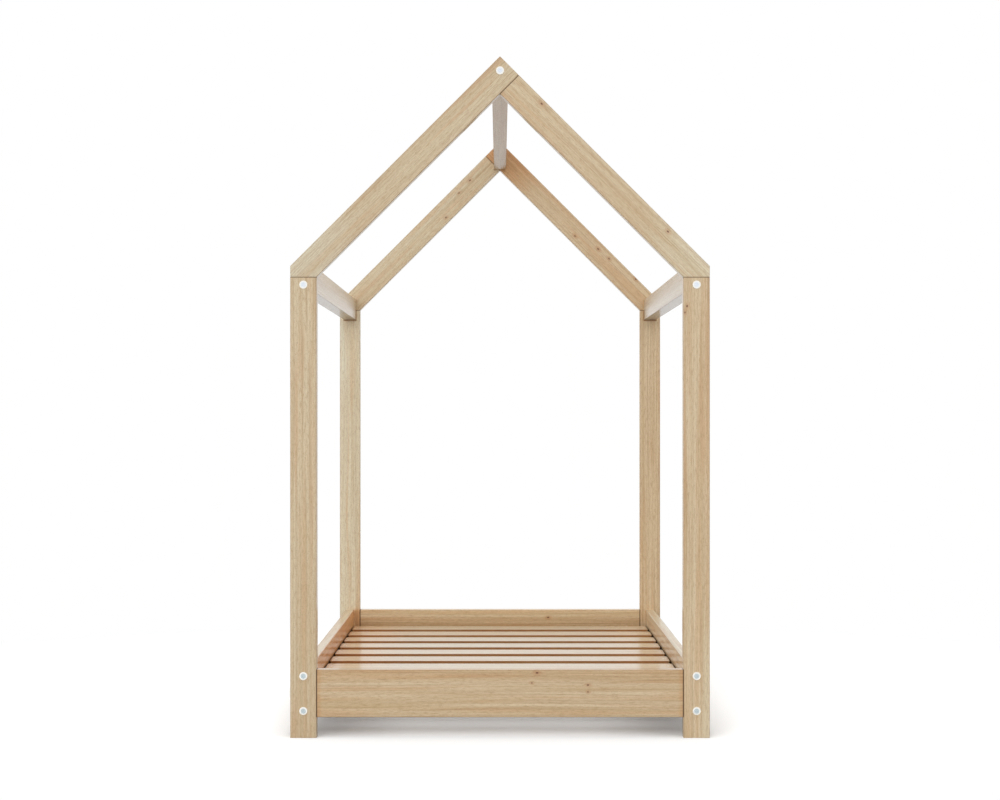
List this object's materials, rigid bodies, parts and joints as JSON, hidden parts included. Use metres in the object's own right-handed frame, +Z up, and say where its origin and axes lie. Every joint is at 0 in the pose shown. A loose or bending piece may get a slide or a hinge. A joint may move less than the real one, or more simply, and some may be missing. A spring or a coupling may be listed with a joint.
{
  "type": "house frame bed",
  "caption": "Low wooden child's bed: corner posts carry a gabled roof outline of rafters, eaves beams and a ridge over a slatted base set inside low side and end rails.",
  "frame": {"origin": "on the floor under the middle of the bed", "axes": "+Z up; Y along the bed, with the gable shown at the front of the picture at -Y; +X to the right seen from that gable"},
  "size_m": [0.7972, 1.4772, 1.2861],
  "materials": {
    "frame_wood": "fine straight grain, planed, clear matt varnish, edges rounded",
    "slat_wood": "planed and sanded, pale, clear matt varnish",
    "bearer_wood": "planed, clear matt varnish",
    "dowel_wood": "turned hardwood, raw",
    "bolt_steel": "bright zinc plate, satin",
    "nut_steel": "zinc plate, turned",
    "screw_steel": "zinc plate"
  },
  "bodies": {
    "root": {"front_left_post": "frame_wood", "front_right_post": "frame_wood", "rear_left_post": "frame_wood", "rear_right_post": "frame_wood", "front_left_rafter": "frame_wood", "front_right_rafter": "frame_wood", "rear_left_rafter": "frame_wood", "rear_right_rafter": "frame_wood", "front_end_rail": "frame_wood", "rear_end_rail": "frame_wood", "left_side_rail": "frame_wood", "right_side_rail": "frame_wood", "left_eaves_beam": "frame_wood", "right_eaves_beam": "frame_wood", "ridge_beam": "frame_wood", "left_slat_bearer": "bearer_wood", "right_slat_bearer": "bearer_wood", "slat_1": "slat_wood", "slat_2": "slat_wood", "slat_3": "slat_wood", "slat_4": "slat_wood", "slat_5": "slat_wood", "slat_6": "slat_wood", "slat_7": "slat_wood", "slat_8": "slat_wood", "slat_9": "slat_wood", "side_rail_bolts": "bolt_steel", "end_rail_bolts": "bolt_steel", "eaves_bolts": "bolt_steel", "ridge_bolts": "bolt_steel", "side_rail_barrel_nuts": "nut_steel", "end_rail_barrel_nuts": "nut_steel", "eaves_barrel_nuts": "nut_steel", "ridge_barrel_nuts": "nut_steel", "post_head_dowels": "dowel_wood", "apex_dowels": "dowel_wood", "end_rail_dowels": "dowel_wood", "eaves_dowels": "dowel_wood", "ridge_dowels": "dowel_wood", "slat_bearer_screws": "screw_steel", "slat_screws": "screw_steel"}
  },
  "joints": []
}
